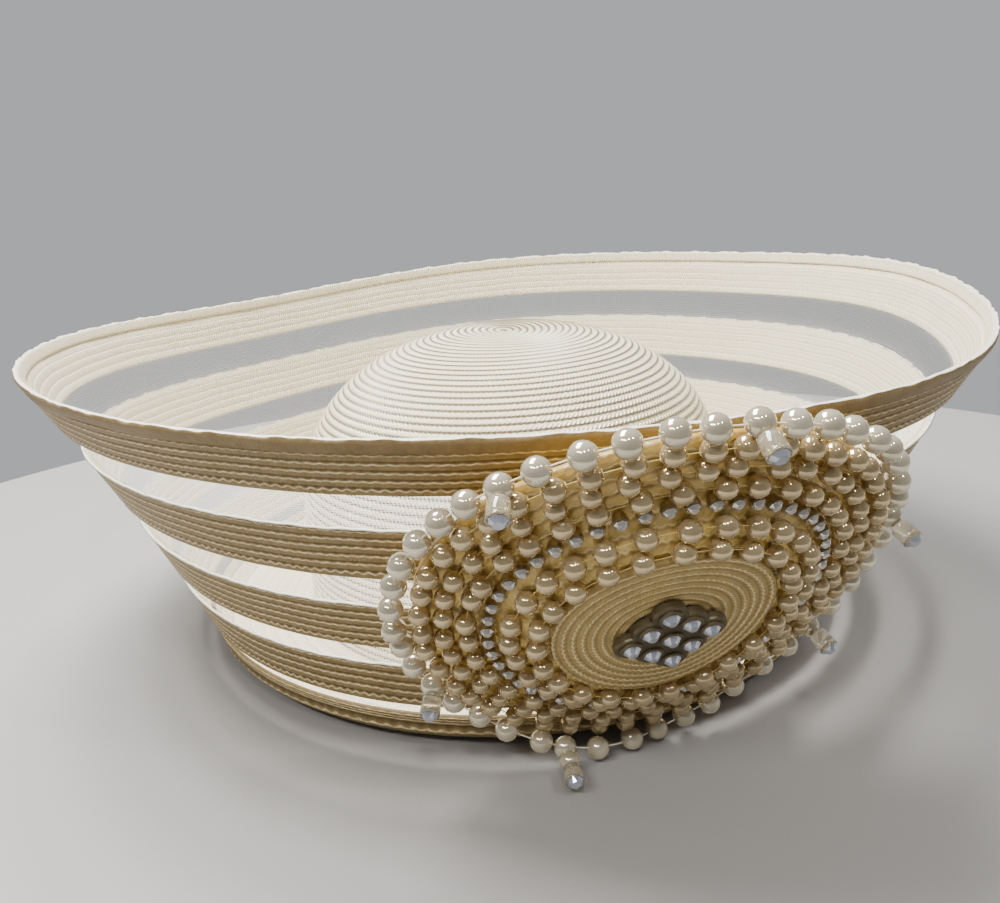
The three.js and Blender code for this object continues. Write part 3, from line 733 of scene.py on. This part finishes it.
# The rosette's own frame: Z faces out of the brim, Y points up the slope. It is moved along its
# face, in four passes, until its back lies over the brim's slope by the clearance less settle.
def rosetteFrame():
    angle = math.radians(rosette["azimuth"])
    fall = float(brimSide(np.array(angle))[1]) - math.pi / 2 - math.radians(rosette["tip"])
    face = np.array([math.cos(fall) * math.cos(angle), math.cos(fall) * math.sin(angle),
                     math.sin(fall)])
    across = np.array([-math.sin(angle), math.cos(angle), 0])
    upward = np.cross(face, across)
    middle = slopePoints(np.array(rosette["along"] * brim["slant"]), 0, np.array(angle))
    rim = rosette["backingRim"]
    back = [(rim, backingLevel(rim) - rosette["backingWall"]),
            (rosette["radius"] + pearl["large"] / 2, 0), (rosette["radius"], -pearl["large"] / 2)]
    turn = fullTurn(96)
    local = np.concatenate([turnedGrid(r, level - bendBack(r * np.cos(turn)), turn)
                            for r, level in back])
    axes = np.stack([across, upward, face])
    for _ in range(4):
        point = middle + local @ axes
        start, slope, length, bow = brimSide(np.arctan2(point[:, 1], point[:, 0]))
        out = np.hypot(point[:, 0], point[:, 1]) - start
        share = np.clip((out * np.cos(slope) + point[:, 2] * np.sin(slope)) / length, 0, 1)
        clear = out * np.sin(slope) - point[:, 2] * np.cos(slope) - bow * 4 * share * (1 - share)
        middle = middle + face * (brim["clearance"] - rosette["settle"] - clear.min())
    return middle, axes


rosetteMiddle, rosetteAxes = rosetteFrame()


# Adds a piece whose points are in the rosette's own frame.
def addLocal(name, points, *rest):
    return addMesh(name, rosetteMiddle + points @ rosetteAxes, *rest)


# Copies of one small shape, lifted by up. Each copy stands at a centre, turned by its own axes
# (rows x, y, z).
def repeatShape(shape, centres, axes, up=0.0):
    points, faces = shape[0] + [0, 0, up], shape[1]
    moved = np.einsum("vk,nkj->nvj", points, axes) + centres[:, None, :]
    shifts = (np.arange(len(centres)) * len(points))[:, None, None]
    return moved.reshape(-1, 3), [(f[None] + shifts).reshape(-1, f.shape[1]) for f in faces]


# A bead: a sphere whose poles are dimpled at the drilled hole, along its local X.
def beadShape(size, sides, rows):
    polar = np.linspace(0, np.pi, rows + 1)[1:-1]
    turn = fullTurn(sides)
    half = size / 2
    p, t = np.meshgrid(polar, turn, indexing="ij")
    ring = half * np.stack([np.cos(p), np.sin(p) * np.cos(t), np.sin(p) * np.sin(t)], axis=-1)
    poles = [[half * 0.93, 0, 0], [-half * 0.93, 0, 0]]
    faces = [gridFaces(rows - 1, sides), endFans(rows - 1, sides)]
    return np.vstack([ring.reshape(-1, 3), poles]), [f[:, ::-1] for f in faces]


# Axes for copies on a ring: X along the ring, Z away from the face, leaned by the bend.
def ringAxes(angle, radius):
    x = radius * np.cos(angle)
    lean = 2 * rosette["bend"] * x / rosette["radius"] ** 2
    up = unit(np.stack([lean, 0 * lean, 1 + 0 * lean], axis=1))
    along = np.stack([-np.sin(angle), np.cos(angle), 0 * angle], axis=1)
    along = unit(along - up * (along * up).sum(axis=1)[:, None])
    return np.stack([along, np.cross(up, along), up], axis=1)


# A closed tube of round section along a closed path of local points.
def tubeFaces(path, radius, sides):
    tangent = unit(np.roll(path, -1, axis=0) - np.roll(path, 1, axis=0))
    side = unit(np.cross(tangent, [0.03, 0.02, 1.0]))
    up = np.cross(side, tangent)
    turn = fullTurn(sides)[:, None]
    ring = path[:, None] + radius * (np.cos(turn) * side[:, None] + np.sin(turn) * up[:, None])
    return ring.reshape(-1, 3), [gridFaces(len(path), sides, True)]


# Joins several local shapes into one list of points and faces.
def joinShapes(shapes):
    faces, count = [], 0
    for points, shapeFaces in shapes:
        faces.extend(f + count for f in shapeFaces)
        count += len(points)
    return np.vstack([points for points, _ in shapes]), faces


# The lowest pearls of the outermost ring hang away from the rest, straight out over the table: the
# reach is a bell curve of the turn round the ring.
sag = {"reach": 9, "turn": math.radians(-101), "spread": 0.42}


def sagOut(points, turn):
    away = np.angle(np.exp(1j * (turn - sag["turn"])))
    reach = sag["reach"] * np.exp(-((away / sag["spread"]) ** 2))
    outward = math.radians(rosette["azimuth"])
    direction = rosetteAxes @ np.array([math.cos(outward), math.sin(outward), 0])
    return points + reach[:, None] * direction


# One ring of pearls with the thread that they hang on.
def makePearlRing(ring, number):
    rng = np.random.default_rng(number)
    form = outerString if number == 1 else innerString
    count, size = ring["count"], ring["size"]
    radius, level = ring["across"] * rosette["radius"], ring["up"] * rosette["dome"]
    angle = fullTurn(count) + rng.normal(0, unevenness["along"], count) * size / radius
    spread = radius + rng.normal(0, unevenness["across"], count)
    centres = turnedGrid(spread, level + rng.normal(0, unevenness["out"], count), angle)
    fine = fullTurn(4 * count)
    thread = turnedGrid(radius, level, fine)
    for path in (centres, thread):
        path[:, 2] -= bendBack(path[:, 0])
    if number == 1:
        centres, thread = sagOut(centres, angle), sagOut(thread, fine)
    bead = beadShape(size, form["sides"], form["rows"])
    beads = repeatShape(bead, centres, ringAxes(angle, radius))
    string = tubeFaces(thread, form["thread"], 5)
    points, faces = joinShapes([beads, string])
    kind = np.repeat([0, 1], [faceCount(beads[1]), faceCount(string[1])])
    piece = addLocal("pearlRing" + str(number), points, faces, form["looks"], None, kind)
    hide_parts(ring["node"])


# A cut stone: table, eight crown facets, girdle and eight pavilion facets down to a point.
def stoneShape(radius, table, height, depth):
    sides = 8
    turn = fullTurn(sides)
    top = turnedGrid(table, height, turn)
    girdle = turnedGrid(radius, 0, turn + tau / sides / 2)
    points = np.vstack([top, girdle, [[0, 0, -depth]]])
    side = np.arange(sides)
    after = (side + 1) % sides
    crownUp = np.stack([side, sides + side, after], axis=1)
    crownDown = np.stack([after, sides + side, sides + after], axis=1)
    pavilion = np.stack([sides + after, sides + side, np.full(sides, 2 * sides)], axis=1)
    return points, [side[None, :], crownUp, crownDown, pavilion]


# A closed turned shape about local Z from a profile of (radius, height) that ends on the axis.
def turnedShape(profile, sides):
    p = np.array(profile[1:-1], dtype=float)
    ring = turnedGrid(p[:, :1], p[:, 1:], fullTurn(sides))
    points = np.vstack([ring.reshape(-1, 3), [[0, 0, profile[0][1]], [0, 0, profile[-1][1]]]])
    return points, [gridFaces(len(p), sides), endFans(len(p), sides)]


# The chain: a ring of cut stones, each in a turned cup.
def makeChain(ring):
    radius = ring["across"] * rosette["radius"]
    angle = fullTurn(ring["count"])
    centres = turnedGrid(radius, ring["up"] * rosette["dome"], angle)
    centres[:, 2] -= bendBack(centres[:, 0])
    axes = ringAxes(angle, radius)
    half = ring["size"] / 2
    stone = stoneShape(half * 0.86, half * 0.5, half * 0.42, half * 0.6)
    cup = turnedShape([(0, -half), (half * 0.8, -half), (half, -half * 0.3), (half * 0.98, 0.35),
                       (half * 0.8, 0.35), (half * 0.75, -half * 0.5), (0, -half * 0.62)], 10)
    stones = repeatShape(stone, centres, axes, half * 0.25)
    cups = repeatShape(cup, centres, axes)
    points, faces = joinShapes([stones, cups])
    kind = np.repeat([0, 1], [faceCount(stones[1]), faceCount(cups[1])])
    piece = addLocal("stoneChain", points, faces, [chainStone, chainMetal], None, kind, False)
    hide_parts(ring["node"])


# A turned piece of the rosette, bent back with the rest. Its grid's first and last row are closed
# onto a point each, at the heights first and last.
def addTurned(name, grid, first, last, uv, material):
    rows, columns = grid.shape[:2]
    points = np.vstack([grid.reshape(-1, 3), [[0, 0, first], [0, 0, last]]])
    points[:, 2] -= bendBack(points[:, 0])
    faces = [gridFaces(rows, columns), endFans(rows, columns)]
    return addLocal(name, points, faces, [material], uv)


backing = {"columns": 180, "rows": 60, "rowPitch": 4.3, "ribDepth": 0.5, "girth": 310}
disc = {"columns": 220, "perRow": 6, "rowPitch": 2.7, "ribDepth": 0.55, "hole": 1.2,
        "edge": (0.0, 0.665), "edgeRows": (-0.4, -0.2), "centreDrop": 0.2, "girth": 130}
# The place across a braid row that the middle fans have.
fanRow = 0.5


# The golden dish under the rings: a turned shell of braid rows.
def makeBacking():
    columns = backing["columns"]
    turn = fullTurn(columns)
    radius = np.linspace(rosette["backingRim"], rosette["discRadius"], backing["rows"])[:, None]
    row = (rosette["backingRim"] - radius) / backing["rowPitch"]
    top = backingLevel(radius) - backing["ribDepth"] * (1 - braidRow(np.mod(row, 1)))
    under = backingLevel(radius[::-1]) - rosette["backingWall"]
    grid = np.concatenate([turnedGrid(radius[::-1], under, turn), turnedGrid(radius, top, turn)])
    v = np.concatenate([row[::-1, 0], row[:, 0]])
    uv = gridUv(np.linspace(0, backing["girth"], columns + 1), v)
    uv = np.vstack([uv, np.tile([[0.0, fanRow]], (6 * columns, 1))])
    piece = addTurned("rosetteDish", grid, under[0, 0], top[-1, 0], uv, goldBraid)
    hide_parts("rosette_backing")


# The disc: a spiral of narrow braid. The rib's height follows the radius over the pitch plus the
# turn.
def makeDisc():
    columns, outer = disc["columns"], rosette["discRadius"]
    rows = int(outer / disc["rowPitch"] * disc["perRow"])
    turn = fullTurn(columns)
    base = float(backingLevel(outer)) + brim["clearance"]
    radius = np.linspace(outer, disc["hole"], rows)[:, None]
    row = (outer - radius) / disc["rowPitch"]
    phase = np.mod(row + turn / tau, 1)
    top = base + rosette["discWall"] - disc["ribDepth"] * (1 - braidRow(phase))
    edge = [turnedGrid(outer, base + up, turn)[None] for up in disc["edge"]]
    grid = np.concatenate([*edge, turnedGrid(radius, top, turn)])
    v = np.concatenate([disc["edgeRows"], row[:, 0]])
    uv = spiralUv(gridUv(np.linspace(0, disc["girth"], columns + 1), v), columns, fanRow)
    middle = base + rosette["discWall"] - disc["centreDrop"]
    piece = addTurned("rosetteDisc", grid, base, middle, uv, discBraid)
    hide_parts("rosette_disc")


button = {"pitch": 7.8, "stone": 2.6, "cup": 4.8, "plate": 2.6, "collar": 0.8, "turn": 57,
          "columns": 180}


# The button: a raised plate whose outline is the reach of nine circles, with nine stones in
# collars.
def makeButton():
    base = float(backingLevel(rosette["discRadius"])) + rosette["discWall"]
    base += 2 * brim["clearance"]
    spin = math.radians(button["turn"])
    grid = np.array([(x, y) for x in (-1, 0, 1) for y in (-1, 0, 1)]) * button["pitch"]
    turnBy = np.array([[math.cos(spin), math.sin(spin)], [-math.sin(spin), math.cos(spin)]])
    centres = grid @ turnBy
    count = button["columns"]
    angle = fullTurn(count)
    ray = np.stack([np.cos(angle), np.sin(angle)])
    onRay = centres @ ray
    offRay = centres[:, :1] * ray[1] - centres[:, 1:] * ray[0]
    inside = np.abs(offRay) < button["cup"]
    reach = (onRay + np.sqrt(np.clip(button["cup"] ** 2 - offRay**2, 0, None))) * inside
    outline = reach.max(axis=0)
    plate = button["plate"]
    levels = [(0.3, 0.0), (0.0, 0.5), (0.0, plate - 0.7), (0.3, plate - 0.2), (0.9, plate),
              (3.0, plate)]
    rows = [turnedGrid(outline - inset, base + up, angle) for inset, up in levels]
    setting = (np.vstack([*rows, [[0, 0, base], [0, 0, base + plate]]]),
               [gridFaces(len(levels), count), endFans(len(levels), count)])
    places = np.column_stack([centres, np.full(9, base + plate)])
    level = np.tile(np.eye(3), (9, 1, 1))
    r, collar = button["stone"], button["collar"]
    cup = turnedShape([(0, -0.3), (r + 0.8, -0.3), (r + 0.75, collar * 0.6), (r + 0.4, collar),
                       (r * 0.97, collar * 0.9), (r * 0.9, 0.1), (0, 0.05)], 24)
    stone = stoneShape(r, r * 0.45, 1.5, 0.55)
    stones = repeatShape(stone, places, level, collar * 0.75)
    cups = repeatShape(cup, places, level)
    points, faces = joinShapes([stones, setting, cups])
    kind = np.arange(faceCount(faces)) >= faceCount(stones[1])
    piece = addLocal("stoneButton", points, faces, [clearStone, darkMetal], None, kind, False)
    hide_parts("stone_button")


# Studs on the outermost ring: turn in degrees from the right-hand side, lift from straight out,
# length before the stone, and how many pearls are strung on it below the glass barrel.
studs = [(82, 0, 5.5, 0), (131, 0, 5.5, 0), (213, 0, 5.5, 0), (254, 28, 20, 2), (327, 0, 5.5, 0),
         (5, 0, 5.5, 0)]
# Sizes of a stud: its strung pearls, their first place, step and room, its stone's radius, table,
# height and depth, and the sides of its turned parts.
stud = {"pearl": 6.6, "first": 3.6, "step": 6.9, "room": 7, "stone": (2.6, 1.5, 1.4, 0.5),
        "sides": 20}


# Each stud stands on a pearl of the ring: a glass barrel, a rim and a cut stone, leaned as the
# ring's bend leans there.
def makeStuds():
    pitch = tau / rings[0]["count"]
    for number, (turn, lift, barrel, beads) in enumerate(studs, start=1):
        angle = round(math.radians(turn) / pitch) * pitch
        x, y = rosette["radius"] * math.cos(angle), rosette["radius"] * math.sin(angle)
        base = pearl["large"] / 2 + brim["clearance"]
        end = base + barrel
        strung = []
        for step in range(beads):
            bead, faces = beadShape(stud["pearl"], outerString["sides"], outerString["rows"])
            up = base + stud["first"] + stud["step"] * step
            strung.append((bead[:, [1, 2, 0]] + [0, 0, up], faces))
        base += stud["room"] * beads
        glass = turnedShape([(0, base), (2.3, base), (2.9, base + 0.7), (3.0, end - 0.8),
                             (2.7, end), (0, end)], stud["sides"])
        rim = turnedShape([(0, end - 0.6), (2.6, end - 0.6), (3.1, end - 0.2), (3.1, end + 0.5),
                           (2.75, end + 0.7), (2.6, end), (0, end - 0.1)], stud["sides"])
        stone = stoneShape(*stud["stone"])
        stone = (stone[0] + [0, 0, end + 0.6], stone[1])
        shapes = [stone, glass, rim, *strung]
        points, faces = joinShapes(shapes)
        kind = np.repeat([0, 1, 1] + [2] * beads, [faceCount(part[1]) for part in shapes])
        tilt = Matrix.Rotation(math.atan(2 * rosette["bend"] * x / rosette["radius"] ** 2), 3, "Y")
        tilt = np.array(tilt @ Matrix.Rotation(math.radians(-lift), 3, "X"))
        points = points @ tilt.T + [x, y, -bendBack(x)]
        looks = [clearStone, clearBarrel, pearlWhite]
        piece = addLocal("crystalStud" + str(number), points, faces, looks, None, kind, kind > 0)
        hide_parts("crystal_stud_" + str(number))


makeBacking()
makeDisc()
for ring in rings:
    if ring["node"] == "stone_chain":
        makeChain(ring)
    else:
        makePearlRing(ring, int(ring["node"][-1]))
makeButton()
makeStuds()
print("rosette")


# Stage, in metres: a round pale floor, four soft lamps and a soft room. The room's light grows
# smoothly from near to far, as its direction's Y goes from one value to the other.
room = {"colour": (0.8, 0.81, 0.83), "near": 0.22, "far": 0.58, "from": -0.9, "to": 0.7,
        "floorColour": (0.33, 0.317, 0.303), "floorRadius": 0.42, "floorDrop": 0.0002}
lamps = [
    {"name": "ceiling", "place": (-0.3, 0.2, 1.1), "size": (0.9, 0.4), "power": 48,
     "aim": (0, 0.05, 0.05)},
    {"name": "window", "place": (-0.45, -0.75, 0.8), "size": (0.6, 0.09), "power": 6,
     "aim": (0, -0.1, 0.06)},
    {"name": "bulbLeft", "place": (0.1, -0.8, 0.8), "size": (0.06, 0.06), "power": 2.2,
     "aim": (0, -0.1, 0.06)},
    {"name": "bulbRight", "place": (0.5, -0.6, 0.8), "size": (0.06, 0.06), "power": 2.2,
     "aim": (0, -0.1, 0.06)},
]


def makeStage():
    floorMaterial = plainMaterial("floor", colour=room["floorColour"], rough=0.6)
    bpy.ops.mesh.primitive_circle_add(vertices=128, radius=room["floorRadius"], fill_type="NGON",
                                      location=(0, 0, -room["floorDrop"]))
    floor = bpy.context.object
    floor.name = "floor"
    floor.data.materials.append(floorMaterial)
    world = bpy.context.scene.world or bpy.data.worlds.new("world")
    bpy.context.scene.world = world
    world.use_nodes = True
    tree = world.node_tree
    split = tree.nodes.new("ShaderNodeSeparateXYZ")
    fade = tree.nodes.new("ShaderNodeMapRange")
    fade.interpolation_type = "SMOOTHSTEP"
    for index, key in enumerate(("from", "to", "near", "far"), start=1):
        fade.inputs[index].default_value = room[key]
    tree.links.new(tree.nodes.new("ShaderNodeTexCoord").outputs["Generated"], split.inputs[0])
    tree.links.new(split.outputs[1], fade.inputs[0])
    tree.links.new(fade.outputs[0], tree.nodes["Background"].inputs[1])
    tree.nodes["Background"].inputs[0].default_value = (*room["colour"], 1)
    for lamp in lamps:
        light = bpy.data.lights.new(lamp["name"], "AREA")
        light.shape = "RECTANGLE"
        light.size, light.size_y = lamp["size"]
        light.energy = lamp["power"]
        holder = bpy.data.objects.new(lamp["name"], light)
        holder.location = lamp["place"]
        toward = Vector(lamp["aim"]) - Vector(lamp["place"])
        holder.rotation_euler = toward.to_track_quat("-Z", "Y").to_euler()
        bpy.context.scene.collection.objects.link(holder)


makeStage()
print("stage")
